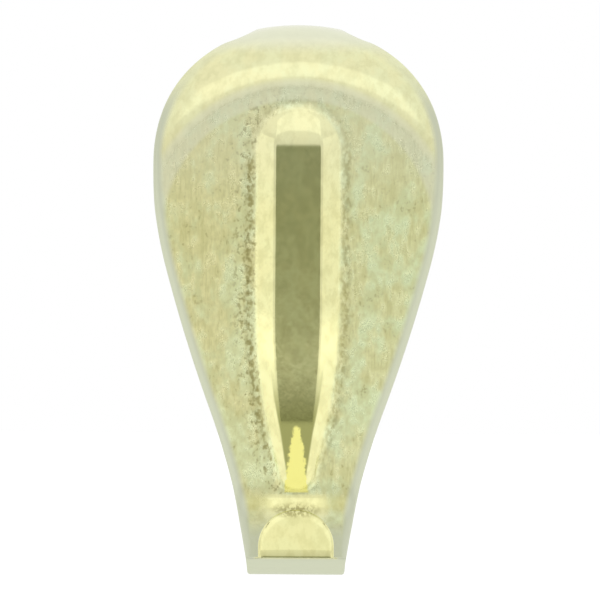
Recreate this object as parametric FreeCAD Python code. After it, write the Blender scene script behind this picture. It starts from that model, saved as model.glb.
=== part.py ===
import FreeCAD, Part
import math
import os

# Picture hook for a picture rail: one strip of brass sheet, stamped and bent.
# A teardrop face hangs in front of the rail, its domed top curls back over the rail's nose,
# and its narrow foot turns forward and up into the hook that carries the picture wire.
# Millimetres. +Z is up, -Y is the front, X is across. The shape is drawn with the front of its
# face in the plane Y = 0, and is then moved so that the origin is the middle of the curl's inner
# crest, where the top of the rail's nose seats.

# Sheet
sheet_thickness = 1.0
overall_height = 56.2

# Face: half widths and radii of the teardrop, from its shoulders down to its foot
head_half_width = 15.0
head_depth = 13.7
shoulder_radius = 13.2
side_radius = 43.8
side_turn = 14.8
flank_radius = 162.8
flank_turn = 5.4
neck_radius = 78.3

# Curl over the rail
curl_radius = 7.0
crest_arch_radius = 22.0
curl_turn = 165.0
lip_half_width = 4.5
lip_corner_radius = 3.0
lip_drop = 7.5
shoulder_depth = 4.5
strap_root_radius = 2.5

# Stiffening rib pressed forward along the middle of the face; its crown bends down at both ends
rib_end_below_seat = 7.3
rib_length = 39.6
rib_straight_length = 16.0
rib_height = 1.3
rib_half_width = 4.6
rib_foot_half_width = 2.1
rib_crown_half_width = 2.4
rib_crown_foot_half_width = 1.1
rib_crown_round = 0.4
rib_top_ramp = 5.0
rib_foot_ramp = 7.0

# Wire hook: the throat turns forward, a shelf follows, and the fold turns up into a leaning tongue
throat_radius = 5.0
throat_turn = 45.0
shelf_length = 6.0
fold_radius = 0.8
tongue_lean = 18.0
tongue_rise = 6.35
tongue_step = 0.95

# Room that a cutting prism has beyond the sheet, and the closeness at which two depths are one
cut_room = 5.0
same_depth = 1e-6

# Levels and places that follow
crest_z = sheet_thickness
widest_z = crest_z - head_depth
arch_axis_z = crest_z - crest_arch_radius
bend_start_radius = crest_arch_radius - curl_radius
crest_y = curl_radius
bottom_z = crest_z - overall_height
throat_reach = throat_radius * (1 - math.cos(math.radians(throat_turn)))
shelf_reach = shelf_length * math.sin(math.radians(throat_turn))
fold_reach = fold_radius * math.cos(math.radians(throat_turn))
fold_y = -(throat_reach + shelf_reach + fold_reach)
fold_z = bottom_z + fold_radius + sheet_thickness


def point(x, y, z):
    return FreeCAD.Vector(x, y, z)


def inward(heading):
    """Unit vector in the face, square to a downward path and towards the middle."""
    return point(-math.cos(heading), 0, math.sin(heading))


def bend_path(start, heading, radius, turn):
    """One tangent arc of the right-hand outline. A positive turn leads towards the middle."""
    side = 1 if turn > 0 else -1
    centre = start + inward(heading) * (radius * side)
    middle = centre - inward(heading + turn / 2) * (radius * side)
    end = centre - inward(heading + turn) * (radius * side)
    return Part.Arc(start, middle, end).toShape(), end, heading + turn


def prism(edges, y_from, y_to):
    """Solid between two depths whose outline is the closed chain of edges in the plane Y = 0."""
    face = Part.Face(Part.Wire(Part.__sortEdges__(edges)))
    face.translate(point(0, y_from, 0))
    return face.extrude(point(0, y_to - y_from, 0))


def mirrored(edges):
    return [edge.mirror(point(0, 0, 0), point(1, 0, 0)) for edge in edges]


def teardrop_side():
    """Right-hand edge of the face: a shoulder, the side, the flank and the neck, and its two ends."""
    corner = point(head_half_width - shoulder_radius, 0, widest_z)
    top = corner + point(0, 0, shoulder_radius)
    diagonal = shoulder_radius * math.sqrt(0.5)
    middle = corner + point(diagonal, 0, diagonal)
    widest = point(head_half_width, 0, widest_z)
    shoulder = Part.Arc(top, middle, widest).toShape()
    side, at, heading = bend_path(widest, 0.0, side_radius, math.radians(side_turn))
    flank, at, heading = bend_path(at, heading, flank_radius, math.radians(flank_turn))
    neck, foot, heading = bend_path(at, heading, neck_radius, -heading)
    return [shoulder, side, flank, neck], top, foot


def foot_half_width(z):
    """Half width of the face at a level of its neck, or of the straight foot below that."""
    neck = teardrop_side()[0][-1].Curve
    rise = max(z - neck.Center.z, 0)
    return neck.Center.x - math.sqrt(neck_radius**2 - rise**2)


def face_prism():
    """The teardrop, from in front of the tongue back to the rim of its domed shoulders."""
    side, top, foot = teardrop_side()
    low = min(foot.z, bottom_z) - cut_room
    side.append(Part.makeLine(foot, point(foot.x, 0, low)))
    across = [
        Part.makeLine(point(-top.x, 0, top.z), top),
        Part.makeLine(point(foot.x, 0, low), point(-foot.x, 0, low)),
    ]
    return prism(side + mirrored(side) + across, fold_y - cut_room, shoulder_depth)


def strap_root(side):
    """Hollow corner, seen from above, where the shoulders' rim turns into the strap's edge."""
    r = strap_root_radius
    x = lip_half_width - sheet_thickness / 2
    y = shoulder_depth - sheet_thickness / 2
    reach_x = lip_half_width + r
    reach_y = shoulder_depth + r
    bevel = r * (1 - math.sqrt(0.5))
    corner = [
        Part.makeLine(point(x, y, 0), point(reach_x, y, 0)),
        Part.makeLine(point(reach_x, y, 0), point(reach_x, shoulder_depth, 0)),
        Part.Arc(
            point(reach_x, shoulder_depth, 0),
            point(lip_half_width + bevel, shoulder_depth + bevel, 0),
            point(lip_half_width, reach_y, 0),
        ).toShape(),
        Part.makeLine(point(lip_half_width, reach_y, 0), point(x, reach_y, 0)),
        Part.makeLine(point(x, reach_y, 0), point(x, y, 0)),
    ]
    if side < 0:
        corner = mirrored(corner)
    face = Part.Face(Part.Wire(Part.__sortEdges__(corner)))
    face.translate(point(0, 0, -curl_radius))
    return face.extrude(point(0, 0, curl_radius + cut_room))


def lip_prism():
    """The lip's outline: parallel sides over the crest, and rounded corners at its end."""
    low = crest_z - lip_drop - sheet_thickness
    high = crest_z + cut_room
    w = lip_half_width
    r = lip_corner_radius
    bevel = r * (1 - math.sqrt(0.5))
    right = [
        Part.makeLine(point(w, 0, high), point(w, 0, low + r)),
        Part.Arc(point(w, 0, low + r), point(w - bevel, 0, low + bevel), point(w - r, 0, low)).toShape(),
    ]
    across = [
        Part.makeLine(point(-w, 0, high), point(w, 0, high)),
        Part.makeLine(point(w - r, 0, low), point(r - w, 0, low)),
    ]
    back = 2 * curl_radius + cut_room
    return prism(right + mirrored(right) + across, 0, back)


def tongue_trim():
    """What is cut from the strip in front: all above the fold but the tongue, whose end is round."""
    tip_z = bottom_z + tongue_rise
    half_width = foot_half_width(bottom_z) - tongue_step
    round_z = tip_z - half_width
    side = Part.makeLine(point(half_width, 0, fold_z), point(half_width, 0, round_z))
    root = Part.makeLine(point(-half_width, 0, fold_z), point(half_width, 0, fold_z))
    end_round = Part.Arc(
        point(half_width, 0, round_z), point(0, 0, tip_z), point(-half_width, 0, round_z)
    ).toShape()
    front = fold_y - cut_room
    high = tongue_rise + cut_room
    back = fold_y + high * math.tan(math.radians(tongue_lean))
    tongue = prism([side, root, end_round] + mirrored([side]), front, back)

    # The block's back leans with the tongue
    top_z = fold_z + high
    corners = [(front, fold_z), (fold_y, fold_z), (back, top_z), (front, top_z), (front, fold_z)]
    block = Part.Face(Part.makePolygon([point(-head_half_width, y, z) for y, z in corners]))
    return block.extrude(point(2 * head_half_width, 0, 0)).cut(tongue)


def curl_solid():
    """Domed top: a flat half disc whose rim curls back, turned about the arch's axis."""
    outer = curl_radius
    inner = curl_radius - sheet_thickness
    turn = math.radians(curl_turn)
    along = point(0, math.sin(turn), math.cos(turn))
    centre = point(0, crest_y, arch_axis_z + bend_start_radius)

    def on_curl(radius, angle):
        return centre + point(0, -radius * math.cos(angle), radius * math.sin(angle))

    lip = lip_drop
    axis_front = point(0, 0, arch_axis_z)
    axis_back = point(0, sheet_thickness, arch_axis_z)
    section = [
        Part.makeLine(axis_front, on_curl(outer, 0)),
        Part.Arc(on_curl(outer, 0), on_curl(outer, turn / 2), on_curl(outer, turn)).toShape(),
        Part.makeLine(on_curl(outer, turn), on_curl(outer, turn) + along * lip),
        Part.makeLine(on_curl(outer, turn) + along * lip, on_curl(inner, turn) + along * lip),
        Part.makeLine(on_curl(inner, turn) + along * lip, on_curl(inner, turn)),
        Part.Arc(on_curl(inner, turn), on_curl(inner, turn / 2), on_curl(inner, 0)).toShape(),
        Part.makeLine(on_curl(inner, 0), axis_back),
        Part.makeLine(axis_back, axis_front),
    ]
    face = Part.Face(Part.Wire(section))
    face.rotate(axis_front, point(0, 1, 0), -90)
    return face.revolve(axis_front, point(0, 1, 0), 180)


def hook_profile():
    """Side view of the face below the arch's axis, the throat, the shelf, the fold and the tongue."""
    t = sheet_thickness
    turn = math.radians(throat_turn)
    lean = math.radians(tongue_lean)
    fold_turn = math.pi - turn + lean
    fold_centre = point(0, fold_y, fold_z)
    to_front = point(0, math.cos(turn), -math.sin(turn))
    shelf_end = fold_centre + to_front * fold_radius
    shelf_start = shelf_end + point(0, math.sin(turn), math.cos(turn)) * shelf_length
    throat_centre = shelf_start - to_front * throat_radius

    def on_throat(radius, angle):
        return throat_centre + point(0, math.cos(angle), -math.sin(angle)) * radius

    def on_fold(radius, angle):
        return fold_centre + point(0, math.cos(turn + angle), -math.sin(turn + angle)) * radius

    tongue_length = (tongue_rise + cut_room) / math.cos(lean)
    along_tongue = point(0, math.sin(lean), math.cos(lean)) * tongue_length
    throat_outer = throat_radius + t
    fold_outer = fold_radius + t
    top_front = point(0, 0, arch_axis_z)
    top_back = point(0, t, arch_axis_z)
    inner_tongue = on_fold(fold_radius, fold_turn)
    outer_tongue = on_fold(fold_outer, fold_turn)
    edges = [
        Part.makeLine(top_front, on_throat(throat_radius, 0)),
        Part.Arc(
            on_throat(throat_radius, 0), on_throat(throat_radius, turn / 2), shelf_start
        ).toShape(),
        Part.makeLine(shelf_start, shelf_end),
        Part.Arc(shelf_end, on_fold(fold_radius, fold_turn / 2), inner_tongue).toShape(),
        Part.makeLine(inner_tongue, inner_tongue + along_tongue),
        Part.makeLine(inner_tongue + along_tongue, outer_tongue + along_tongue),
        Part.makeLine(outer_tongue + along_tongue, outer_tongue),
        Part.Arc(outer_tongue, on_fold(fold_outer, fold_turn / 2), on_fold(fold_outer, 0)).toShape(),
        Part.makeLine(on_fold(fold_outer, 0), on_throat(throat_outer, turn)),
        Part.Arc(
            on_throat(throat_outer, turn), on_throat(throat_outer, turn / 2), on_throat(throat_outer, 0)
        ).toShape(),
        Part.makeLine(on_throat(throat_outer, 0), top_back),
        Part.makeLine(top_back, top_front),
    ]
    return Part.Face(Part.Wire(edges))


def hook_solid():
    face = hook_profile()
    reach = head_half_width + cut_room
    face.translate(point(-reach, 0, 0))
    return face.extrude(point(2 * reach, 0, 0))


def rib_outline(y, half_width, foot_width, inset):
    """Closed outline of the rib at one depth: round top end, parallel sides that draw in, round foot."""
    top = half_width - inset
    foot = foot_width - inset
    top_centre_z = -rib_end_below_seat - rib_half_width
    draw_z = top_centre_z - rib_straight_length
    foot_z = -rib_end_below_seat - rib_length + rib_foot_half_width
    draw_turn = 2 * math.atan2(top - foot, draw_z - foot_z)
    draw_radius = (draw_z - foot_z) / math.sin(draw_turn)
    side_start = point(top, y, draw_z)
    draw, foot_start, heading = bend_path(side_start, 0.0, draw_radius, draw_turn)
    end_z = foot_start.z - foot * (math.tan(heading) + 1 / math.cos(heading))
    right = [Part.makeLine(point(top, y, top_centre_z), side_start), draw]
    ends = [
        Part.Arc(
            point(-top, y, top_centre_z), point(0, y, top_centre_z + top), point(top, y, top_centre_z)
        ).toShape(),
        Part.Arc(foot_start, point(0, y, end_z), point(-foot_start.x, y, foot_start.z)).toShape(),
    ]
    left = mirrored(right)
    return Part.Wire([ends[0]] + right + [ends[1]] + left[::-1])


def rib_flanks(base_y, inset, crown_round):
    """Rib with a level crown above the depth base_y, with its crown edge rounded."""
    crown_y = base_y - rib_height
    base = rib_outline(base_y, rib_half_width, rib_foot_half_width, inset)
    crown = rib_outline(crown_y, rib_crown_half_width, rib_crown_foot_half_width, inset)
    solid = Part.makeLoft([base, crown], True, True)
    rim = [e for e in solid.Edges if all(abs(v.Point.y - crown_y) < same_depth for v in e.Vertexes)]
    return solid.makeFillet(crown_round, rim)


def rib_ramps(base_y, depth):
    """What bends the crown down at both ends: its side view, a given depth behind the rib's front."""
    top_z = -rib_end_below_seat
    foot_z = top_z - rib_length
    top_radius = (rib_top_ramp**2 + rib_height**2) / (2 * rib_height)
    foot_radius = (rib_foot_ramp**2 + rib_height**2) / (2 * rib_height)
    top_centre = point(0, top_radius - rib_height, top_z - rib_top_ramp)
    foot_centre = point(0, foot_radius - rib_height, foot_z + rib_foot_ramp)

    def on_ramp(centre, radius, rise):
        return centre + point(0, -math.sqrt(radius**2 - rise**2), rise)

    def ramp(centre, radius, side):
        end = math.sqrt(radius**2 - (centre.y - base_y) ** 2) * side
        return Part.Arc(
            on_ramp(centre, radius, 0), on_ramp(centre, radius, end / 2), on_ramp(centre, radius, end)
        ).toShape()

    top = ramp(top_centre, top_radius - depth, 1)
    foot = ramp(foot_centre, foot_radius - depth, -1)
    ends = [edge.Vertexes[1].Point for edge in (top, foot)]
    starts = [edge.Vertexes[0].Point for edge in (top, foot)]
    face = Part.Face(
        Part.Wire([Part.makeLine(starts[1], starts[0]), top, Part.makeLine(*ends), foot.reversed()])
    )
    face.translate(point(-head_half_width, 0, 0))
    return face.extrude(point(2 * head_half_width, 0, 0))


def rib_solid(depth, inset, crown_round):
    """Pressed shape of the rib, seen from the front of the sheet or a given depth behind it."""
    return rib_flanks(depth, inset, crown_round).common(rib_ramps(depth, depth))


def make_picture_hook():
    sheet = curl_solid().fuse(hook_solid()).removeSplitter()
    outline = face_prism().fuse([lip_prism(), strap_root(1), strap_root(-1)])
    plate = sheet.common(outline).cut(tongue_trim()).removeSplitter()
    flank_angle = math.atan2(rib_height, rib_half_width - rib_crown_half_width)
    back_inset = sheet_thickness * math.tan(flank_angle / 2)
    front_rib = rib_solid(0, 0, rib_crown_round)
    back_hollow = rib_solid(sheet_thickness, back_inset, rib_crown_round / 2)
    return plate.fuse(front_rib).cut(back_hollow).removeSplitter().Solids[0]


os.makedirs("parts", exist_ok=True)
picture_hook = make_picture_hook()
picture_hook.translate(point(0, -crest_y, 0))
picture_hook.exportStep("parts/picture_hook.step")
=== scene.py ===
"""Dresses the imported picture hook: the pressed brass sheet with its worn polish, and a white studio."""

import math

import bpy
import numpy as np
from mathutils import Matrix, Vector


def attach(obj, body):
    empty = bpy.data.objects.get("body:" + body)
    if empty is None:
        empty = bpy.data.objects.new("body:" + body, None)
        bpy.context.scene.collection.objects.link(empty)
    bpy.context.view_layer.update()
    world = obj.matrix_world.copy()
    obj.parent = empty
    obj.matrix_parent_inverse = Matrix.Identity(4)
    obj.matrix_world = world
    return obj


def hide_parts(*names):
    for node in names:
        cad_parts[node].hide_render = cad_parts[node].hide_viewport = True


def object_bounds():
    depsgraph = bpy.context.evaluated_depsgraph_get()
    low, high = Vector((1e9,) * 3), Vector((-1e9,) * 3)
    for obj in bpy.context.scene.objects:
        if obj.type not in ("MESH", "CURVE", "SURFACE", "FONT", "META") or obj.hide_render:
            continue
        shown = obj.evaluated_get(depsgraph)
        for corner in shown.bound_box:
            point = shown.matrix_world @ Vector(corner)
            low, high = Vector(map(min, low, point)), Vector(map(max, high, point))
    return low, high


bl_info = {
    "name": "Picture Hook",
    "version": (1, 0, 0),
    "blender": (4, 5, 0),
    "location": "View3D > Sidebar > Picture Hook",
    "description": "Builds the pressed brass picture hook and the studio around it",
    "category": "Object",
}

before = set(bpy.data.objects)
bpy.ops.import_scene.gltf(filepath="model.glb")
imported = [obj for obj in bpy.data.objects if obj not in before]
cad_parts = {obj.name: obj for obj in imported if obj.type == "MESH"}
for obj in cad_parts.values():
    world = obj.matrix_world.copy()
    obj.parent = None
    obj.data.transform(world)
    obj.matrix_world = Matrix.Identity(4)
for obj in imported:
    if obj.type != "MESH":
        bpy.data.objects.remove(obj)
cad_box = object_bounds()

MM = 0.001

# Plane of the face's front, in millimetres from the rail seat
FACE_Y = -7.0

# Outline of the face in millimetres, from the crest down to the foot
CREST_Z = 1.0
HEAD_HALF_WIDTH = 15.0
HEAD_DEPTH = 13.7
SHOULDER_RADIUS = 13.2
SIDE_RADIUS = 43.8
SIDE_TURN = math.radians(14.8)
FLANK_RADIUS = 162.8
FLANK_TURN = math.radians(5.4)
NECK_RADIUS = 78.3

# Curl over the rail, its strap and the lip at the back
CURL_RADIUS = 7.0
CURL_TURN = math.radians(165.0)
ARCH_RADIUS = 22.0
STRAP_HALF_WIDTH = 4.5
STRAP_ROOT_RADIUS = 2.5
SHOULDER_DEPTH = 4.5
LIP_CORNER_RADIUS = 3.0
LIP_END_Z = -7.5

# Rib
RIB_TOP_Z = -7.3
RIB_LENGTH = 39.6
RIB_STRAIGHT = 16.0
RIB_HALF_WIDTH = 4.6
RIB_FOOT_HALF_WIDTH = 2.1
CROWN_HALF_WIDTH = 2.4
CROWN_FOOT_HALF_WIDTH = 1.1
RIB_TOP_RAMP = 5.0
RIB_FOOT_RAMP = 7.0
FOOT_RAMP_ROUND = 1.2

# Throat, shelf, fold and tongue of the wire hook
THROAT_RADIUS = 5.0
THROAT_TURN = math.radians(45.0)
SHELF = 6.0
FOLD_RADIUS = 0.8
FOLD_Z = -53.4
TONGUE_LEAN = math.radians(18.0)
TONGUE_TIP_Z = -48.85
TONGUE_HALF_WIDTH = 3.856

# Painted yellow reflection in a patch at the rib's foot
PATCH_TOP_Z = -40.0
PATCH_LENGTH = 6.9
PATCH_HALF_WIDTH = 1.2

# Levels that follow
WIDEST_Z = CREST_Z - HEAD_DEPTH
ARCH_Z = CREST_Z - ARCH_RADIUS
BEND_START = ARCH_RADIUS - CURL_RADIUS
FOLD_TURN = math.pi - THROAT_TURN + TONGUE_LEAN
THROAT_Z = FOLD_Z + (THROAT_RADIUS - FOLD_RADIUS) * math.sin(THROAT_TURN) + SHELF * math.cos(THROAT_TURN)
FOLD_START = THROAT_RADIUS * THROAT_TURN + SHELF
STEP = FOLD_START + FOLD_RADIUS * (math.pi - THROAT_TURN)
STRAP_START_TURN = math.acos(1 - (SHOULDER_DEPTH + STRAP_ROOT_RADIUS) / CURL_RADIUS)

# Cells across the crown, a flank and the face beside the rib, and rows of the two rounded ends
CROWN_CELLS = 4
FLANK_CELLS = 4
FACE_CELLS = 11
TONGUE_CELLS = 13
LIP_CELLS = 12

# Distance between the samples of the outline in millimetres, and how many of them smooth its turn
EDGE_SAMPLE = 0.02
TURN_SAMPLES = 91

# Studio: the view's middle, the picture's width in pixels, and pixels in one millimetre
VIEW_MIDDLE = (0.25, -27.3)
PICTURE_WIDTH = 600
PIXELS_PER_MM = 9.78
CAMERA_ROLL = math.radians(-0.38)
HOOK_MIDDLE_Z = -27.0

# Finish in millimetres: each step's name and calculation, then its parts or soft limits
FINISH_STEPS = (
    ("across", "ABSOLUTE", "x", 0.0),
    ("on_front", None, ("facing", 0.2, -0.2, 0.0, 1.0)),
    ("before_crest", None, ("y", 3.0, 0.0, 0.0, 1.0)),
    # What was drawn over the tool, or is rubbed by the wire, is smooth
    ("on_rib", None, ("inside_rib", 0.1, 0.6, 0.0, 1.0)),
    ("on_tongue", None, ("y", -13.0, -13.5, 0.0, 1.0)),
    ("on_dome", None, ("from_axis", BEND_START + 0.2, BEND_START + 1.0, 0.0, 0.75)),
    ("in_throat", "MULTIPLY", ("across", 3.7, 2.3, 0.0, 1.0), ("z", -47.0, -47.4, 0.0, 1.0)),
    ("polish", "MAXIMUM", "on_rib", "on_tongue", "on_dome", "in_throat"),
    ("polished", "MULTIPLY", "polish", 0.8),
    ("unpolished", None, ("polish", 0.0, 1.0, 1.0, 0.45)),
    # Tan on the left and greener on the right, in clouds, with darker shades and streaks
    ("hue", "ADD", ("clouds", 0.40, 0.60, 0.0, 0.6), ("x", -14.0, 14.0, 0.0, 0.4)),
    ("shade", "MULTIPLY", ("shades", 0.38, 0.64, 0.0, 0.5), "unpolished"),
    ("in_clouds", "MULTIPLY", ("clouds", 0.60, 0.40, 0.0, 0.35), "unpolished"),
    ("streak", "MULTIPLY", ("streaks", 0.44, 0.64, 0.0, 1.0), "in_clouds"),
    ("mottle", "MULTIPLY", ("shades", 0.42, 0.64, 0.0, 0.25), "polish"),
    # Specks stand close on the left of the rib, and elsewhere only here and there
    ("beside_rib", "MULTIPLY", ("inside_rib", -2.8, -1.0, 0.0, 0.7), ("x", 1.0, -3.0, 0.25, 1.0)),
    ("anywhere", "MAXIMUM", "beside_rib", ("shades", 0.54, 0.68, 0.0, 0.5)),
    ("crowded", "MULTIPLY", "anywhere", "unpolished"),
    ("speck", "MULTIPLY", ("specks", 0.54, 0.68, 0.0, 1.0), "crowded"),
    # Painted shade: the tongue's face is darkened so that its rim's highlight stands out, and the throat's
    # sides are darkened to dim what they reflect, so the throat is bright only in the middle
    ("in_tongue", None, ("from_tongue", TONGUE_HALF_WIDTH - 0.25, TONGUE_HALF_WIDTH - 0.6, 0.0, 1.0)),
    ("painted_shade_tongue_face", "MULTIPLY", "in_tongue", ("y", -13.2, -13.6, 0.0, 0.3)),
    ("throat_level", "MULTIPLY", ("z", -46.2, -47.8, 0.0, 1.0), ("z", -50.2, -48.0, 0.0, 1.0)),
    ("painted_shade_throat_sides", "MULTIPLY", ("across", 2.4, 3.8, 0.0, 0.6), "throat_level"),
    # Painted sheen: the head is paler, most where its bend starts and at the crest, for the light its curve
    # reflects
    ("up_to_bend", None, ("from_axis", BEND_START - 1.4, BEND_START - 0.6, 0.0, 0.5)),
    ("at_bend", "MULTIPLY", "up_to_bend", ("from_axis", BEND_START + 2.0, BEND_START + 0.8, 0.0, 1.0)),
    ("on_head", "MAXIMUM", ("z", -20.0, -10.0, 0.0, 0.2), "at_bend"),
    ("head_sheen", "ADD", "on_head", ("z", -2.4, -0.2, 0.0, 0.65)),
    ("painted_sheen", "MULTIPLY", "head_sheen", "before_crest"),
    # Painted shade darkens the crown's bent foot, where its tilt no longer mirrors the dark camera side,
    # except in a painted yellow reflection: a patch with a rough edge that widens downwards
    ("down", "SUBTRACT", PATCH_TOP_Z, "z"),
    ("part_down", "DIVIDE", "down", PATCH_LENGTH),
    ("below_top", "MAXIMUM", "part_down", 0.0),
    ("widening", "POWER", "below_top", 0.55),
    ("breadth", "MULTIPLY", "widening", PATCH_HALF_WIDTH),
    ("smooth_edge", "SUBTRACT", "breadth", "across"),
    ("rough_edge", "ADD", "smooth_edge", ("specks", 0.3, 0.7, -0.12, 0.12)),
    ("above_end", None, ("down", PATCH_LENGTH + 0.15, PATCH_LENGTH, 0.0, 1.0)),
    ("upright", "MULTIPLY", ("down", 0.0, 0.4, 0.0, 1.0), "above_end"),
    ("painted_yellow_patch", "MULTIPLY", ("rough_edge", -0.12, 0.15, 0.0, 1.0), "upright", "on_front"),
    ("in_crown", "SUBTRACT", "inside_rib", ("down", 0.0, PATCH_LENGTH, 1.5, 0.95)),
    ("painted_dark_foot", "MULTIPLY", ("in_crown", -0.12, 0.12, 0.0, 1.0), ("down", -7.0, 0.2, 0.0, 1.0), "on_front"),
    # The rounded rim, the shelf and the underside of the fold keep a dull skin, but not the curl
    ("outer_rim", "MULTIPLY", ("inside_outline", 1.35, 0.6, 0.0, 1.0), "before_crest"),
    ("on_rim", "MULTIPLY", "outer_rim", ("z", -4.0, -9.0, 0.3, 1.0)),
    ("on_shelf", "MULTIPLY", ("z", -48.3, -51.8, 0.0, 1.0), ("y", -13.6, -12.8, 0.0, 1.0)),
    ("haze", "MAXIMUM", "on_rim", "on_shelf", ("z", -53.3, -53.7, 0.0, 1.0)),
    # Residue lies in broken lines along the rib's root, most on its left; behind the tongue's tip the same
    # broken dark is painted shade
    ("past_root", "ADD", "inside_rib", 0.35),
    ("from_root", "ABSOLUTE", "past_root", 0.0),
    ("on_left", "MULTIPLY", ("from_root", 0.75, 0.1, 0.0, 1.0), ("x", 2.0, -2.0, 0.55, 0.85)),
    ("along_root", "MULTIPLY", "on_left", ("z", -10.0, -13.5, 0.35, 1.0), ("z", -45.5, -39.0, 0.15, 1.0)),
    ("root_residue_and_tip_shade", "MAXIMUM", "along_root", ("from_tip", 0.95, 0.3, 0.0, 0.85)),
    ("residue_and_tip_shade", "MULTIPLY", "root_residue_and_tip_shade", ("specks", 0.40, 0.56, 0.2, 0.85), "on_front"),
    ("roughness", None, ("shades", 0.3, 0.7, 0.25, 0.35)),
    ("relief_strength", None, ("polish", 0.0, 1.0, 1.0, 0.08)),
)


def neck_arcs():
    """Centres of the side, the flank and the neck, and the two levels where they meet."""
    side = np.array([HEAD_HALF_WIDTH - SIDE_RADIUS, WIDEST_Z])
    heading = SIDE_TURN
    joint = side + SIDE_RADIUS * np.array([math.cos(heading), -math.sin(heading)])
    flank = joint - FLANK_RADIUS * np.array([math.cos(heading), -math.sin(heading)])
    heading += FLANK_TURN
    foot = flank + FLANK_RADIUS * np.array([math.cos(heading), -math.sin(heading)])
    neck = foot + NECK_RADIUS * np.array([math.cos(heading), -math.sin(heading)])
    return side, flank, neck, joint[1], foot[1]


def face_half_width(z):
    """Half width of the face at levels below its widest place."""
    side, flank, neck, joint_z, foot_z = neck_arcs()
    z = np.asarray(z, float)
    by_side = side[0] + np.sqrt(SIDE_RADIUS**2 - np.clip(z - side[1], -SIDE_RADIUS, 0) ** 2)
    by_flank = flank[0] + np.sqrt(FLANK_RADIUS**2 - (z - flank[1]) ** 2)
    by_neck = neck[0] - np.sqrt(NECK_RADIUS**2 - np.clip(z - neck[1], 0, NECK_RADIUS) ** 2)
    return np.where(z > joint_z, by_side, np.where(z > foot_z, by_flank, by_neck))


def bent_forward(down, depth):
    """Depth and level of the strip at a distance below the throat's start, and its turn there."""
    in_throat = np.clip(down / THROAT_RADIUS, 0, THROAT_TURN)
    on_shelf = np.clip(down - THROAT_RADIUS * THROAT_TURN, 0, SHELF)
    in_fold = np.clip((down - FOLD_START) / FOLD_RADIUS, 0, FOLD_TURN)
    on_tongue = np.maximum(down - FOLD_START - FOLD_RADIUS * FOLD_TURN, 0)
    turn = in_throat + in_fold
    y = THROAT_RADIUS * (np.cos(in_throat) - 1) - on_shelf * math.sin(THROAT_TURN)
    y += FOLD_RADIUS * (np.cos(turn) - np.cos(in_throat)) + on_tongue * math.sin(TONGUE_LEAN)
    z = THROAT_Z - np.minimum(down, 0) - THROAT_RADIUS * np.sin(in_throat)
    z -= on_shelf * math.cos(THROAT_TURN)
    z += FOLD_RADIUS * (np.sin(in_throat) - np.sin(turn)) + on_tongue * math.cos(TONGUE_LEAN)
    return y + depth * np.cos(turn), z - depth * np.sin(turn), turn


def curled_back(x, z, depth):
    """Place of the flat blank's points above the arch's axis once the top is curled over the rail."""
    reach = np.hypot(x, z - ARCH_Z)
    bearing = np.arctan2(x, z - ARCH_Z)
    turn = np.clip((reach - BEND_START) / CURL_RADIUS, 0, CURL_TURN)
    beyond = np.maximum(reach - BEND_START - CURL_RADIUS * CURL_TURN, 0)
    radius = np.minimum(reach, BEND_START) + (CURL_RADIUS - depth) * np.sin(turn)
    radius += beyond * math.cos(CURL_TURN)
    y = CURL_RADIUS - (CURL_RADIUS - depth) * np.cos(turn) + beyond * math.sin(CURL_TURN)
    return radius * np.sin(bearing), y, ARCH_Z + radius * np.cos(bearing)


def unrolled(radius, bearing, y_behind_crest):
    """Place in the flat blank of a point of the curl, given by its distance from the arch's axis."""
    rise = np.clip((radius - BEND_START) / CURL_RADIUS, 0, 1)
    turn = np.where(y_behind_crest, math.pi - np.arcsin(rise), np.arcsin(rise))
    lip_radius = BEND_START + CURL_RADIUS * math.sin(CURL_TURN)
    beyond = np.maximum(lip_radius - radius, 0) / -math.cos(CURL_TURN)
    on_lip = y_behind_crest & (radius < lip_radius)
    reach = np.where(on_lip, BEND_START + CURL_RADIUS * CURL_TURN + beyond, BEND_START + CURL_RADIUS * turn)
    reach = np.where(~y_behind_crest & (radius < BEND_START), radius, reach)
    return reach * np.sin(bearing), ARCH_Z + reach * np.cos(bearing)


def rib_widths(z):
    """Half widths of the rib at its root and at its crown."""
    draw_z = RIB_TOP_Z - RIB_HALF_WIDTH - RIB_STRAIGHT
    foot_z = RIB_TOP_Z - RIB_LENGTH + RIB_FOOT_HALF_WIDTH
    drawn = (np.clip(draw_z - z, 0, draw_z - foot_z) / (draw_z - foot_z)) ** 2
    root = RIB_HALF_WIDTH + (RIB_FOOT_HALF_WIDTH - RIB_HALF_WIDTH) * drawn
    crown = CROWN_HALF_WIDTH + (CROWN_FOOT_HALF_WIDTH - CROWN_HALF_WIDTH) * drawn
    return root, crown, foot_z


def softened_min(a, b, width):
    return np.minimum(a, b) - np.maximum(width - np.abs(a - b), 0) ** 2 / (4 * width)


def inside_rib(x, z):
    """How far inside the rib's root line a point of the face lies, or less than 0 outside it."""
    root, _, foot_z = rib_widths(z)
    top_centre_z = RIB_TOP_Z - RIB_HALF_WIDTH
    inside = root - np.abs(x)
    inside = np.where(z > top_centre_z, root - np.hypot(x, z - top_centre_z), inside)
    return np.where(z < foot_z, root - np.hypot(x, z - foot_z), inside)


def inside_outline(x, z):
    """How far inside the teardrop's outline a point lies, as seen from the front."""
    to_side = face_half_width(z) - np.abs(x)
    beside_middle = np.maximum(np.abs(x) - HEAD_HALF_WIDTH + SHOULDER_RADIUS, 0)
    to_shoulder = SHOULDER_RADIUS - np.hypot(beside_middle, z - WIDEST_Z)
    return np.where(z > WIDEST_Z, to_shoulder, to_side)


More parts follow.
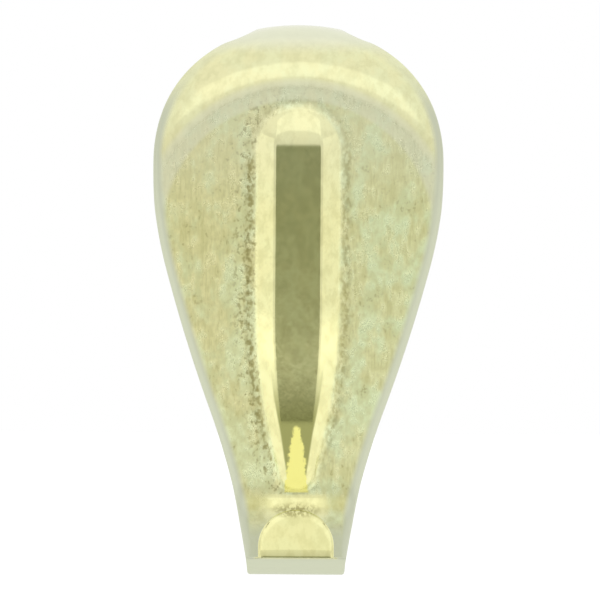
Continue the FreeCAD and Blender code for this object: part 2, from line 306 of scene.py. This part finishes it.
def rib_rise(x, z, depth, height, crown_round, root_round):
    """How far the rib stands forward, at the front of the sheet or a given depth behind it."""
    root, crown, _ = rib_widths(z)
    flank = root - crown
    inset = depth * np.tan(np.arctan2(height, flank) / 2)
    rise = height * (inside_rib(x, z) - inset) / flank
    foot_end_z = RIB_TOP_Z - RIB_LENGTH
    for ramp, rounded, past in (
        (RIB_TOP_RAMP, RIB_TOP_RAMP, z - (RIB_TOP_Z - RIB_TOP_RAMP)),
        (RIB_FOOT_RAMP, FOOT_RAMP_ROUND, foot_end_z + RIB_FOOT_RAMP - z),
    ):
        steepest = height / (ramp - rounded / 2)
        past = np.clip(past, 0, None)
        slope = steepest * np.minimum(past / rounded, 1)
        fall = slope * np.minimum(past, rounded) / 2 + steepest * np.maximum(past - rounded, 0)
        ramp_rise = height - fall - depth * (np.sqrt(1 + slope**2) - 1)
        rise = softened_min(rise, ramp_rise, crown_round)
    return -softened_min(-rise, 0 * rise, root_round)


def pressed(x, z, depth, sizes):
    """Place in millimetres of points of the flat blank once it is pressed and bent."""
    height = sizes.rib_height / MM
    low_y, low_z, turn = bent_forward(THROAT_Z - z, depth)
    high_x, high_y, high_z = curled_back(x, z, depth)
    flat = (z <= THROAT_Z) | (z <= ARCH_Z)
    out_x = np.where(flat, x, high_x)
    out_y = np.where(flat, low_y, high_y)
    out_z = np.where(flat, low_z, high_z)
    on_face = (np.hypot(x, z - ARCH_Z) < BEND_START) | (z < ARCH_Z)
    rise = rib_rise(x, z, depth, height, sizes.crown_round / MM, sizes.root_round / MM)
    rise = np.where(on_face & (THROAT_Z - z < THROAT_RADIUS * THROAT_TURN), rise, 0)
    out_y = out_y - rise * np.where(flat, np.cos(turn), 1)
    out_z = out_z + rise * np.where(flat, np.sin(turn), 0)
    return out_x, out_y + FACE_Y, out_z


def right_edge():
    """The blank's right-hand edge from the step beside the tongue up to the lip's rounded corner."""
    parts = []
    down = np.linspace(STEP, 0, 300)
    _, hook_z, _ = bent_forward(down, 0)
    parts.append((face_half_width(hook_z), THROAT_Z - down))
    z = np.linspace(THROAT_Z, ARCH_Z, 600)[1:]
    parts.append((face_half_width(z), z))
    z = np.linspace(ARCH_Z, WIDEST_Z, 300)[1:]
    x = face_half_width(z)
    parts.append(unrolled(np.hypot(x, z - ARCH_Z), np.arctan2(x, z - ARCH_Z), np.zeros(len(x), bool)))
    rim_radius = BEND_START + CURL_RADIUS * math.sqrt(1 - (1 - SHOULDER_DEPTH / CURL_RADIUS) ** 2)
    angle = np.linspace(0, math.pi / 2, 2000)[1:]
    x = HEAD_HALF_WIDTH - SHOULDER_RADIUS + SHOULDER_RADIUS * np.cos(angle)
    z = WIDEST_Z + SHOULDER_RADIUS * np.sin(angle)
    reach = np.hypot(x, z - ARCH_Z)
    ahead = np.cumsum(reach > rim_radius) == 0
    x, z, reach = x[ahead], z[ahead], reach[ahead]
    parts.append(unrolled(reach, np.arctan2(x, z - ARCH_Z), np.zeros(len(x), bool)))
    angle = np.linspace(0, math.pi / 2, 60)[1:]
    x = STRAP_HALF_WIDTH + STRAP_ROOT_RADIUS * (1 - np.sin(angle))
    y = SHOULDER_DEPTH + STRAP_ROOT_RADIUS * (1 - np.cos(angle))
    radius = BEND_START + CURL_RADIUS * np.sqrt(1 - (1 - y / CURL_RADIUS) ** 2)
    parts.append(unrolled(radius, np.arcsin(x / radius), np.zeros(len(x), bool)))
    corner_radius = math.hypot(STRAP_HALF_WIDTH, LIP_END_Z + LIP_CORNER_RADIUS - ARCH_Z)
    last_turn = math.pi - math.asin((corner_radius - BEND_START) / CURL_RADIUS)
    turn = np.linspace(STRAP_START_TURN, last_turn, 400)[1:]
    radius = BEND_START + CURL_RADIUS * np.sin(turn)
    bearing = np.arcsin(STRAP_HALF_WIDTH / radius)
    reach = BEND_START + CURL_RADIUS * turn
    parts.append((reach * np.sin(bearing), ARCH_Z + reach * np.cos(bearing)))
    return np.concatenate([p[0] for p in parts]), np.concatenate([p[1] for p in parts])


def smooth_step(value, low, high):
    t = np.clip((value - low) / (high - low), 0, 1)
    return t * t * (3 - 2 * t)


def row_starts(spacing):
    """For each row of the blank: its end on the edge, its turn there and its start on the middle line."""
    x, z = right_edge()
    travelled = np.concatenate([[0], np.cumsum(np.hypot(np.diff(x), np.diff(z)))])
    even = np.arange(0, travelled[-1], EDGE_SAMPLE)
    x, z = np.interp(even, travelled, x), np.interp(even, travelled, z)
    turn = np.arctan2(-np.gradient(x), np.gradient(z)) * smooth_step(z, THROAT_Z, THROAT_Z + 6)
    strap = BEND_START + CURL_RADIUS * STRAP_START_TURN
    bearing = np.arctan2(x, z - ARCH_Z)
    on_strap = (np.hypot(x, z - ARCH_Z) > strap) & (z > ARCH_Z)
    turn = np.where(on_strap, -bearing, turn)
    kernel = np.hanning(TURN_SAMPLES)
    turn = np.convolve(np.pad(turn, TURN_SAMPLES // 2, mode="edge"), kernel / kernel.sum(), mode="valid")
    middle = z - x * np.tan(turn / 2)

    # Rows never cross: where they would, the crowding is shared out over the head
    head = (z[1:] > WIDEST_Z - 2) & (np.hypot(x, z - ARCH_Z)[1:] < strap + 4)
    climb = np.diff(middle)
    spread = np.where(head, np.maximum(climb, 0.004), climb)
    room = climb[head].sum() - spread[head].min() * head.sum()
    spread[head] = spread[head].min() + (spread[head] - spread[head].min()) * (
        room / (spread[head] - spread[head].min()).sum()
    )
    middle = np.concatenate([[middle[0]], middle[0] + np.cumsum(spread)])
    turn = 2 * np.arctan((z - middle) / x)
    down = THROAT_Z - z
    fine = np.where(down > FOLD_START - 0.3, 3.2, np.where(down > -1, 1.4, 1.0))
    step = np.maximum(np.abs(np.diff(middle)), np.hypot(np.diff(x), np.diff(z))) * fine[1:]
    along = np.concatenate([[0], np.cumsum(step)])
    rows = int(math.ceil(along[-1] / spacing))
    marks = np.linspace(0, along[-1], rows + 1)
    return [np.interp(marks, along, values) for values in (x, z, turn)]


def column_marks(length, z):
    """Distances from the middle line at which the columns cross a row of the blank."""
    root, crown, _ = rib_widths(np.clip(z, RIB_TOP_Z - RIB_LENGTH, RIB_TOP_Z))
    low = float(np.clip((THROAT_Z - z) / STEP, 0, 1))
    band = 1.2 + low * (length - TONGUE_HALF_WIDTH - 1.2)
    inner = length - band - 0.5
    root = min(float(root), 0.8 * inner)
    crown = min(float(crown), 0.55 * root)
    marks = list(np.linspace(0, crown - 0.2, CROWN_CELLS + 1))
    marks += [crown - 0.1, crown, crown + 0.1]
    marks += list(np.linspace(crown + 0.2, root - 0.35, FLANK_CELLS + 1))
    marks += [root - 0.2, root - 0.05, root + 0.1]
    marks += list(np.linspace(root + 0.3, inner, FACE_CELLS + 1))
    marks += [length - band, length]
    return np.array(marks)


def blank_rows(sizes):
    """Blank coordinates of every row and column on the right-hand half, from tongue tip to lip end."""
    edge_x, edge_z, edge_turn = row_starts(sizes.cell / MM)
    t = np.linspace(0, 1, 300)
    rows_x, rows_z = [], []
    for x, z, turn in zip(edge_x, edge_z, edge_turn):
        if abs(turn) < 1e-3:
            line_x, line_z = t * x, np.full_like(t, z)
        else:
            radius = x / math.sin(turn)
            line_x = radius * np.sin(turn * t)
            line_z = z - x * math.tan(turn / 2) + radius * (1 - np.cos(turn * t))
        place = np.array(pressed_base(line_x, line_z))
        along = np.concatenate([[0], np.cumsum(np.linalg.norm(np.diff(place, axis=1), axis=0))])
        marks = column_marks(along[-1], line_z[0])
        rows_x.append(np.interp(marks, along, line_x))
        rows_z.append(np.interp(marks, along, line_z))
    return np.array(rows_x), np.array(rows_z)


def pressed_base(x, z):
    """The bent sheet without its rib, for measuring along it."""
    low_y, low_z, _ = bent_forward(THROAT_Z - z, 0)
    high_x, high_y, high_z = curled_back(x, z, 0)
    flat = (z <= THROAT_Z) | (z <= ARCH_Z)
    return np.where(flat, x, high_x), np.where(flat, low_y, high_y), np.where(flat, low_z, high_z)


def rounded_end(base, side, end, cells):
    """Rows that fill a rounded end: between a base row, the side from it, and the end row."""
    rows = []
    steps = np.concatenate([np.linspace(0, 0.8, cells + 1)[1:], [1]])
    share = base[0] / base[0][-1]
    for step in steps:
        side_point = [np.interp(step, np.linspace(0, 1, len(c)), c) for c in side]
        middle = [b[0] + step * (e[0] - b[0]) for b, e in zip(base, end)]
        row = []
        for axis in range(2):
            ruled = (1 - step) * base[axis] + step * end[axis]
            left = (1 - step) * base[axis][0] + step * end[axis][0]
            right = (1 - step) * base[axis][-1] + step * end[axis][-1]
            row.append(ruled + (1 - share) * (middle[axis] - left) + share * (side_point[axis] - right))
        rows.append(row)
    return rows


def tongue_rows(base):
    """Rows of the half-round tongue, from its tip down to the fold."""
    fold_end = FOLD_Z + FOLD_RADIUS * math.sin(TONGUE_LEAN)
    length = FOLD_RADIUS * TONGUE_LEAN + (TONGUE_TIP_Z - fold_end) / math.cos(TONGUE_LEAN)
    half = base[0][-1]
    round_start = length - half
    angle = np.linspace(0, math.pi / 4, 60)
    side_x = np.concatenate([[half], half * np.cos(angle)])
    side_z = np.concatenate([[0], round_start + half * np.sin(angle)])
    travelled = np.concatenate([[0], np.cumsum(np.hypot(np.diff(side_x), np.diff(side_z)))])
    even = np.linspace(0, travelled[-1], 80)
    side = [np.interp(even, travelled, side_x), np.interp(even, travelled, side_z)]
    bearing = base[0] / half * math.pi / 4
    end = [half * np.sin(bearing), round_start + half * np.cos(bearing)]
    start_z = base[1][0]
    flat = [base[0], np.zeros_like(base[0])]
    rows = rounded_end(flat, side, end, TONGUE_CELLS)
    return [[row[0], start_z - row[1]] for row in rows][::-1]


def lip_rows(base):
    """Rows of the lip's rounded end behind the rail, up to the end itself."""
    centre_x = STRAP_HALF_WIDTH - LIP_CORNER_RADIUS
    centre_z = LIP_END_Z + LIP_CORNER_RADIUS
    angle = np.linspace(0, math.pi / 4, 60)
    x = centre_x + LIP_CORNER_RADIUS * np.cos(angle)
    z = centre_z - LIP_CORNER_RADIUS * np.sin(angle)
    behind = np.ones(len(x), bool)
    side = unrolled(np.hypot(x, z - ARCH_Z), np.arctan2(x, z - ARCH_Z), behind)
    arc = LIP_CORNER_RADIUS * math.pi / 4
    along = base[0] / base[0][-1] * (centre_x + arc)
    bearing = np.maximum(along - centre_x, 0) / LIP_CORNER_RADIUS
    x = np.minimum(along, centre_x) + LIP_CORNER_RADIUS * np.sin(bearing)
    z = LIP_END_Z + LIP_CORNER_RADIUS * (1 - np.cos(bearing))
    behind = np.ones(len(x), bool)
    end = unrolled(np.hypot(x, z - ARCH_Z), np.arctan2(x, z - ARCH_Z), behind)
    return rounded_end(base, side, end, LIP_CELLS)


class HookSizes(bpy.types.PropertyGroup):
    sheet: bpy.props.FloatProperty(
        name="Sheet", description="Thickness of the brass sheet", default=1.0 * MM, unit="LENGTH"
    )
    rib_height: bpy.props.FloatProperty(
        name="Rib height", description="How far the rib stands forward", default=1.3 * MM, unit="LENGTH"
    )
    crown_round: bpy.props.FloatProperty(
        name="Crown round", description="Softness of the rib's crown edges", default=0.10 * MM, unit="LENGTH"
    )
    root_round: bpy.props.FloatProperty(
        name="Root round", description="Softness of the rib's root", default=0.25 * MM, unit="LENGTH"
    )
    edge_round: bpy.props.FloatProperty(
        name="Edge round", description="Rolled front edge of the face", default=0.72 * MM, unit="LENGTH"
    )
    cell: bpy.props.FloatProperty(
        name="Cell", description="Spacing of the rows of faces", default=0.36 * MM, unit="LENGTH"
    )


class BrassLook(bpy.types.PropertyGroup):
    tan: bpy.props.StringProperty(name="Tan", description="Warmer clouds of the face", default="#F1ECB2")
    green: bpy.props.StringProperty(name="Green", description="Cooler clouds of the face", default="#E8F3C4")
    # Also the painted shade of the tongue's face and of the throat's sides
    shade: bpy.props.StringProperty(name="Shade", description="Darker shades of the face", default="#C0BD80")
    polished: bpy.props.StringProperty(name="Polished", description="Rib and tongue", default="#F5F1B2")
    # Painted sheen of the head, for the light its curve reflects
    painted_sheen: bpy.props.StringProperty(name="Pale", description="Stretched metal of the dome", default="#EDEFD8")
    # Painted shade of the crown's bent foot
    painted_dark_foot: bpy.props.StringProperty(name="Dull", description="Bent foot of the crown", default="#9A9B60")
    # Painted yellow reflection in the patch at the rib's foot
    painted_reflection_gold: bpy.props.StringProperty(name="Gold", description="Rubbed patch of the foot", default="#EDE88B")
    haze: bpy.props.StringProperty(name="Haze", description="Dull skin of the rounded rim", default="#CED2B9")
    # Specks and residue, and painted shade behind the tongue's tip
    stain_and_shade: bpy.props.StringProperty(name="Stain", description="Residue in the hollows", default="#979058")


class StudioLook(bpy.types.PropertyGroup):
    distance: bpy.props.FloatProperty(
        name="Distance", description="From the camera to the face", default=1.0, unit="LENGTH"
    )


def select_only(piece):
    bpy.ops.object.select_all(action="DESELECT")
    piece.select_set(True)
    bpy.context.view_layer.objects.active = piece


def linear(hex_colour):
    """Linear RGBA of an sRGB hex colour."""
    values = [int(hex_colour[i : i + 2], 16) / 255 for i in (1, 3, 5)]
    return [v / 12.92 if v <= 0.04045 else ((v + 0.055) / 1.055) ** 2.4 for v in values] + [1.0]


def add_node(tree, kind, settings=None, inputs=None):
    """Adds a node with its settings. An input takes a value, a socket, or a node for its first output."""
    node = tree.nodes.new(kind)
    for name, value in (settings or {}).items():
        setattr(node, name, value)
    for name, value in (inputs or {}).items():
        if isinstance(value, bpy.types.Node):
            value = next(socket for socket in value.outputs if socket.enabled)
        if isinstance(value, bpy.types.NodeSocket):
            tree.links.new(value, node.inputs[name])
        else:
            node.inputs[name].default_value = value
    return node


def work_out_finish(tree, values):
    """Adds each step's value to those before it. A soft limit says of what, from where and to where, and
    goes smoothly from its value before to its value after."""
    for name, calculation, *parts in FINISH_STEPS:
        results = []
        for part in parts:
            if isinstance(part, tuple):
                of_what, start, end, before, after = part
                limits = {"From Min": start, "From Max": end, "To Min": before, "To Max": after}
                limits["Value"] = values[of_what]
                part = add_node(tree, "ShaderNodeMapRange", {"interpolation_type": "SMOOTHSTEP"}, limits)
            results.append(values[part] if isinstance(part, str) else part)
        whole = results[0]
        for result in results[1:]:
            whole = add_node(tree, "ShaderNodeMath", {"operation": calculation}, {0: whole, 1: result})
        values[name] = whole


def tumbled_brass(look):
    """Tumbled brass sheet. Rolling and tumbling leave soft clouds and streaks along the strip, and beside
    the drawn rib a fine orange peel breaks the reflections into specks; the rib mirrors its room."""
    material = bpy.data.materials.new("tumbled_brass")
    material.use_nodes = True
    tree = material.node_tree
    tree.nodes.clear()
    coordinates = add_node(tree, "ShaderNodeTexCoord").outputs
    place = coordinates["Object"]
    in_mm = add_node(tree, "ShaderNodeVectorMath", {"operation": "SCALE"}, {0: place, "Scale": 1 / MM})
    at = add_node(tree, "ShaderNodeSeparateXYZ", inputs={"Vector": in_mm}).outputs
    facing = add_node(tree, "ShaderNodeSeparateXYZ", inputs={"Vector": coordinates["Normal"]}).outputs
    values = {"x": at["X"], "y": at["Y"], "z": at["Z"], "facing": facing["Y"]}
    for name in ("inside_rib", "inside_outline"):
        values[name] = add_node(tree, "ShaderNodeAttribute", {"attribute_name": name}).outputs["Fac"]

    # Distances in the front view, with the tip's drawn out sideways; the first two count only upwards
    for name, level, squeeze, lowest in (
        ("from_axis", ARCH_Z, 1.0, 0.0),
        ("from_tongue", TONGUE_TIP_Z - TONGUE_HALF_WIDTH, 1.0, 0.0),
        ("from_tip", TONGUE_TIP_Z + 0.1, 0.3, FOLD_Z),
    ):
        across = add_node(tree, "ShaderNodeMath", {"operation": "MULTIPLY"}, {0: values["x"], 1: squeeze})
        above = add_node(tree, "ShaderNodeMath", {"operation": "SUBTRACT"}, {0: values["z"], 1: level})
        above = add_node(tree, "ShaderNodeMath", {"operation": "MAXIMUM"}, {0: above, 1: lowest})
        offset = add_node(tree, "ShaderNodeCombineXYZ", inputs={"X": across, "Z": above})
        values[name] = add_node(tree, "ShaderNodeVectorMath", {"operation": "LENGTH"}, {0: offset})

    # Width in millimetres, drawing out along the strip, and detail; the real streaks and specks are finer
    for name, width, drawn_out, detail in (
        ("clouds", 2.6, 1.6, 3.0),
        ("shades", 1.1, 1.5, 4.0),
        ("streaks", 0.32, 6.0, 2.0),
        ("specks", 0.42, 1.3, 2.0),
    ):
        rolled = add_node(
            tree, "ShaderNodeMapping", inputs={"Vector": place, "Scale": (1.0, 1.0, 1 / drawn_out)}
        )
        values[name] = add_node(
            tree,
            "ShaderNodeTexNoise",
            inputs={"Vector": rolled, "Scale": 1 / (width * MM), "Detail": detail, "Roughness": 0.6},
        )
    work_out_finish(tree, values)

    # Layers of colour. The tongue's face, the throat's sides, the head's sheen, the crown's foot, the yellow
    # patch and the dark behind the tongue's tip are painted light and shade
    colour = linear(look.tan)
    for name, over in (
        ("hue", look.green),
        ("shade", look.shade),
        ("streak", look.shade),
        ("speck", look.stain_and_shade),
        ("polished", look.polished),
        ("mottle", look.shade),
        ("painted_shade_tongue_face", look.shade),
        ("painted_shade_throat_sides", look.shade),
        ("painted_sheen", look.painted_sheen),
        ("painted_dark_foot", look.painted_dark_foot),
        ("painted_yellow_patch", look.painted_reflection_gold),
        ("haze", look.haze),
        ("residue_and_tip_shade", look.stain_and_shade),
    ):
        layers = {"Factor": values[name], "A": colour, "B": linear(over)}
        colour = add_node(tree, "ShaderNodeMix", {"data_type": "RGBA"}, layers)

    roughness = values["roughness"]
    for name, over in (("polish", 0.09), ("haze", 0.40)):
        layers = {"Factor": values[name], "A": roughness, "B": over}
        roughness = add_node(tree, "ShaderNodeMix", inputs=layers)

    # Orange peel where the specks crowd, soft waves elsewhere, and the streaks over both
    relief = values["shades"]
    for factor, over in ((values["crowded"], values["specks"]), (0.35, values["streaks"])):
        relief = add_node(tree, "ShaderNodeMix", inputs={"Factor": factor, "A": relief, "B": over})
    bump = add_node(
        tree,
        "ShaderNodeBump",
        inputs={"Strength": values["relief_strength"], "Distance": 0.055 * MM, "Height": relief},
    )
    shader = add_node(
        tree,
        "ShaderNodeBsdfPrincipled",
        inputs={"Base Color": colour, "Metallic": 1.0, "Roughness": roughness, "Normal": bump},
    )
    add_node(tree, "ShaderNodeOutputMaterial", inputs={"Surface": shader})
    return material


def white_paper():
    """Matt white paper of the floor."""
    material = bpy.data.materials.new("white_paper")
    material.use_nodes = True
    tree = material.node_tree
    tree.nodes.clear()
    path = add_node(tree, "ShaderNodeLightPath").outputs
    seen = path["Is Camera Ray"]
    for ray in ("Is Glossy Ray", "Is Transmission Ray"):
        seen = add_node(tree, "ShaderNodeMath", {"operation": "MAXIMUM"}, {0: seen, 1: path[ray]})
    strength = add_node(tree, "ShaderNodeMath", {"operation": "MULTIPLY"}, {0: seen, 1: 0.35})
    shader = add_node(
        tree,
        "ShaderNodeBsdfPrincipled",
        inputs={
            "Base Color": linear("#F2F2F2"),
            "Roughness": 0.9,
            "Emission Color": linear("#FFFFFF"),
            "Emission Strength": strength,
        },
    )
    add_node(tree, "ShaderNodeOutputMaterial", inputs={"Surface": shader})
    return material


def white_room():
    """White room with a dark camera side; metal mirrors its walls, and the camera sees pure white."""
    world = bpy.data.worlds.new("white_room")
    world.use_nodes = True
    tree = world.node_tree
    tree.nodes.clear()
    path = add_node(tree, "ShaderNodeLightPath").outputs
    direction = add_node(tree, "ShaderNodeTexCoord").outputs["Generated"]
    toward = add_node(tree, "ShaderNodeSeparateXYZ", inputs={"Vector": direction}).outputs

    # Walls brighten upwards and behind the hook, and a dark opening of 6 to 10 degrees holds the camera
    turned = []
    for axis, start, end, before, after in (
        ("Z", 0.1, 0.6, 0.78, 0.93),
        ("Y", -0.1, 0.5, 0.0, 1.0),
        ("Y", -0.9960, -0.9860, 0.0, 1.0),
    ):
        limits = {"From Min": start, "From Max": end, "To Min": before, "To Max": after}
        limits["Value"] = toward[axis]
        turned.append(add_node(tree, "ShaderNodeMapRange", {"interpolation_type": "SMOOTHSTEP"}, limits))
    upwards, behind, past_opening = turned
    walls = add_node(tree, "ShaderNodeMix", inputs={"Factor": behind, "A": upwards, "B": 1.0})
    white = linear("#FFFFFF")
    layers = {"Factor": past_opening, "A": linear("#9DA28C"), "B": white}
    mirrored = add_node(tree, "ShaderNodeMix", {"data_type": "RGBA"}, layers)
    mirrored_light = add_node(tree, "ShaderNodeBackground", inputs={"Color": mirrored, "Strength": walls})
    rays = {0: path["Is Glossy Ray"], 1: path["Is Transmission Ray"]}
    reflected = add_node(tree, "ShaderNodeMath", {"operation": "MAXIMUM"}, rays)
    light = add_node(tree, "ShaderNodeBackground", inputs={"Color": white, "Strength": 0.8})
    seen = add_node(tree, "ShaderNodeBackground", inputs={"Color": white, "Strength": 1.0})
    mix = add_node(tree, "ShaderNodeMixShader", inputs={0: reflected, 1: light, 2: mirrored_light})
    mix = add_node(tree, "ShaderNodeMixShader", inputs={0: path["Is Camera Ray"], 1: mix, 2: seen})
    add_node(tree, "ShaderNodeOutputWorld", inputs={"Surface": mix})
    return world


def rim_weights(mesh, grid_z, tongue_count, lip_count):
    """Bevel weights of the blank's edges, for the rolled front edge and the sharper back edge of its rim."""
    rows = len(grid_z) - 1
    normals = {}
    for face in mesh.polygons:
        for key in face.edge_keys:
            normals.setdefault(key, []).append(face.normal.copy())
    weights = []
    for edge in mesh.edges:
        a, b = (mesh.vertices[i].co for i in edge.key)
        pair = normals[edge.key]
        rim = len(pair) == 2 and pair[0].dot(pair[1]) < 0.5 and abs(a.z - b.z) < 0.5
        row = (min(a.y, b.y) + 1) / 2 * rows
        levels = grid_z[int(round(row))]
        past_shelf = THROAT_Z - levels[0] > FOLD_START - 1
        narrow = row < tongue_count + 2 or past_shelf or row > rows - lip_count
        beside_tongue = abs(a.y - b.y) < 1e-6 and 1 < row < rows - 1
        if not rim:
            weights.append(0.0)
        elif beside_tongue:
            weights.append(0.1)
        elif narrow:
            weights.append(0.45)
        elif a.z > -0.5:
            weights.append(float(np.interp(levels[-1], (WIDEST_Z, WIDEST_Z + 7), (1.0, 0.4))))
        else:
            weights.append(0.2)
    return weights


class HOOK_OT_press_sheet(bpy.types.Operator):
    """Press and bend the brass sheet into the hook"""

    bl_idname = "hook.press_sheet"
    bl_label = "Press the Sheet"
    bl_options = {"REGISTER", "UNDO"}

    def execute(self, context):
        sizes = context.scene.hook_sizes
        rows_x, rows_z = blank_rows(sizes)
        tongue = tongue_rows([rows_x[0][:-1], rows_z[0][:-1]])
        lip = lip_rows([rows_x[-1], rows_z[-1]])
        grid_x = [np.append(row[0], row[0][-1]) for row in tongue] + list(rows_x) + [row[0] for row in lip]
        grid_z = [np.append(row[1], row[1][-1]) for row in tongue] + list(rows_z) + [row[1] for row in lip]
        grid_x, grid_z = np.array(grid_x), np.array(grid_z)
        columns = grid_x.shape[1] - 1
        rows = grid_x.shape[0] - 1

        # A flat blank of unit thickness, counted in rows and columns
        bpy.ops.object.select_all(action="DESELECT")
        bpy.ops.mesh.primitive_grid_add(x_subdivisions=2 * columns, y_subdivisions=rows, size=2)
        hook = context.active_object
        hook.name = "brass_hook"
        mesh = hook.data
        mesh.name = "brass_hook"
        across = np.array([round((v.co.x + 1) * columns) - columns for v in mesh.vertices])
        up = np.array([round((v.co.y + 1) / 2 * rows) for v in mesh.vertices])

        # The corners beside the tongue are cut away
        beside = (np.abs(across) == columns) & (up < len(tongue))
        bpy.ops.object.mode_set(mode="EDIT")
        bpy.ops.mesh.select_mode(type="VERT")
        bpy.ops.mesh.select_all(action="DESELECT")
        bpy.ops.object.mode_set(mode="OBJECT")
        mesh.vertices.foreach_set("select", beside)
        bpy.ops.object.mode_set(mode="EDIT")
        bpy.ops.mesh.delete(type="VERT")
        bpy.ops.object.mode_set(mode="OBJECT")
        solidify = hook.modifiers.new("thickness", "SOLIDIFY")
        solidify.thickness = 1
        solidify.offset = -1
        bpy.ops.object.modifier_apply(modifier=solidify.name)

        marks = mesh.attributes.new("bevel_weight_edge", "FLOAT", "EDGE")
        marks.data.foreach_set("value", rim_weights(mesh, grid_z, len(tongue), len(lip)))

        # The press gives every point its place
        count = len(mesh.vertices)
        at = np.empty(count * 3)
        mesh.vertices.foreach_get("co", at)
        at = at.reshape(-1, 3)
        column = np.rint((at[:, 0] + 1) * columns).astype(int) - columns
        row = np.rint((at[:, 1] + 1) / 2 * rows).astype(int)
        x = grid_x[row, np.abs(column)] * np.sign(column)
        z = grid_z[row, np.abs(column)]
        depth = -at[:, 2] * sizes.sheet / MM
        place = np.stack(pressed(x, z, depth, sizes), axis=1) * MM
        mesh.vertices.foreach_set("co", place.ravel())
        mesh.update()

        bevel = hook.modifiers.new("rolled edge", "BEVEL")
        bevel.limit_method = "WEIGHT"
        bevel.width = sizes.edge_round
        bevel.segments = 5
        bevel.use_clamp_overlap = False
        bpy.ops.object.modifier_apply(modifier=bevel.name)

        # Distances in millimetres from the rib's root and from the outline, for the finish
        at = np.empty(len(mesh.vertices) * 3)
        mesh.vertices.foreach_get("co", at)
        x, _, z = at.reshape(-1, 3).T / MM
        for name, inside in (("inside_rib", inside_rib(x, z)), ("inside_outline", inside_outline(x, z))):
            distance = mesh.attributes.new(name, "FLOAT", "POINT")
            distance.data.foreach_set("value", inside)
        select_only(hook)
        bpy.ops.object.shade_smooth()
        hook.data.materials.clear()
        hook.data.materials.append(tumbled_brass(context.scene.brass_look))
        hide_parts("picture_hook")
        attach(hook, "root")
        return {"FINISHED"}


class HOOK_OT_set_studio(bpy.types.Operator):
    """Set the white floor and wall, the lamps and the camera"""

    bl_idname = "hook.set_studio"
    bl_label = "Set the Studio"
    bl_options = {"REGISTER", "UNDO"}

    def execute(self, context):
        look = context.scene.studio_look
        scene = context.scene
        floor_z = cad_box[0].z + HOOK_MIDDLE_Z * MM

        bpy.ops.object.select_all(action="DESELECT")
        bpy.ops.mesh.primitive_plane_add(size=6, location=(0, 0, floor_z))
        floor = context.active_object
        floor.name = "floor"
        bpy.ops.object.transform_apply(location=True, rotation=False, scale=False)
        floor.data.materials.append(white_paper())

        lamps = (
            ("top_box", 0.75, 0, 41, (0.80, 0.33), 0.17),
            ("left_box", 0.75, -62, 0, (0.42, 0.60), 0.20),
            ("right_box", 0.75, 62, 0, (0.42, 0.60), 0.15),
        )
        for name, distance, azimuth, elevation, size, radiance in lamps:
            azimuth, elevation = math.radians(azimuth), math.radians(elevation)
            offset = Vector(
                (
                    math.sin(azimuth) * math.cos(elevation),
                    -math.cos(azimuth) * math.cos(elevation),
                    math.sin(elevation),
                )
            )
            middle = Vector((0, 0, HOOK_MIDDLE_Z * MM))
            bpy.ops.object.select_all(action="DESELECT")
            bpy.ops.object.light_add(type="AREA", location=middle + offset * distance)
            lamp = context.active_object
            lamp.name = name
            lamp.data.shape = "RECTANGLE"
            lamp.data.size, lamp.data.size_y = size
            lamp.data.energy = radiance * math.pi * size[0] * size[1]
            lamp.rotation_euler = (-offset).to_track_quat("-Z", "Y").to_euler()
        scene.world = white_room()

        view_x, view_z = VIEW_MIDDLE
        aim = Vector((view_x, FACE_Y, view_z)) * MM
        camera_place = aim + Vector((0, -look.distance, 0))
        bpy.ops.object.camera_add(location=camera_place, rotation=(math.pi / 2, CAMERA_ROLL, 0))
        camera = context.active_object
        view_width = PICTURE_WIDTH / PIXELS_PER_MM * MM
        camera.data.lens = camera.data.sensor_width * look.distance / view_width
        camera.data.clip_start = 0.01
        camera.data.clip_end = 20
        scene.camera = camera
        scene.view_settings.view_transform = "Standard"
        return {"FINISHED"}


class HOOK_PT_panel(bpy.types.Panel):
    bl_idname = "HOOK_PT_panel"
    bl_label = "Picture Hook"
    bl_space_type = "VIEW_3D"
    bl_region_type = "UI"
    bl_category = "Picture Hook"

    def draw(self, context):
        for operator in (HOOK_OT_press_sheet, HOOK_OT_set_studio):
            self.layout.operator(operator.bl_idname)


CLASSES = (HookSizes, BrassLook, StudioLook, HOOK_OT_press_sheet, HOOK_OT_set_studio, HOOK_PT_panel)


def register():
    for cls in CLASSES:
        bpy.utils.register_class(cls)
    bpy.types.Scene.hook_sizes = bpy.props.PointerProperty(type=HookSizes)
    bpy.types.Scene.brass_look = bpy.props.PointerProperty(type=BrassLook)
    bpy.types.Scene.studio_look = bpy.props.PointerProperty(type=StudioLook)


def unregister():
    del bpy.types.Scene.studio_look
    del bpy.types.Scene.brass_look
    del bpy.types.Scene.hook_sizes
    for cls in reversed(CLASSES):
        bpy.utils.unregister_class(cls)


def main():
    register()
    bpy.ops.hook.press_sheet()
    bpy.ops.hook.set_studio()


if __name__ == "__main__":
    main()
